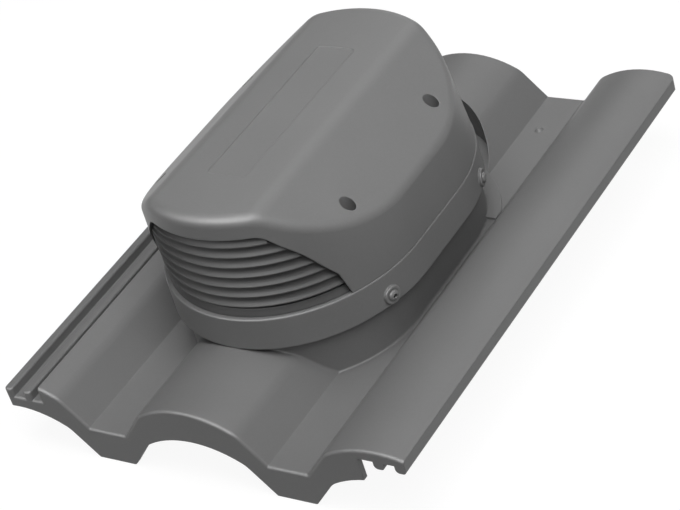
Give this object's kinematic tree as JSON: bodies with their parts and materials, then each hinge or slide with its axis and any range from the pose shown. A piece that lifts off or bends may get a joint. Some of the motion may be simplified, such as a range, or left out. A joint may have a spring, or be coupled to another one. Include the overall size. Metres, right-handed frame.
{
  "type": "roof tile vent",
  "caption": "Double-roll interlocking roof tile with a raised vent hood, louvred at the front and drafted to the rear, over a duct opening.",
  "frame": {"origin": "bottom centre of the part's box: under the middle of the tile, level with the foot of its skirt and nibs", "axes": "+Y up the roof slope towards the nib end, -Y towards the louvred mouth and the skirt, +X across the slope towards the cover flange, +Z square to the tile"},
  "size_m": [0.33, 0.42, 0.17],
  "materials": {
    "tile_plastic": "fine-grained matt grey",
    "hood_plastic": "fine-grained matt grey",
    "mesh_plastic": "matt dark grey",
    "seal_rubber": "soft closed-cell rubber",
    "duct_plastic": "smooth matt grey",
    "screw_plastic": "matt grey coating",
    "screw_steel": "plain steel"
  },
  "bodies": {
    "root": {"base_tile": "tile_plastic", "hood_ring": "hood_plastic", "hood_cover": "hood_plastic", "louvre_grille": "hood_plastic", "insect_mesh": "mesh_plastic", "upstand_seal": "seal_rubber", "duct_spigot": "duct_plastic", "ring_screw_washers": "screw_plastic", "ring_screws": "screw_plastic", "cover_screws": "screw_steel"}
  },
  "joints": []
}
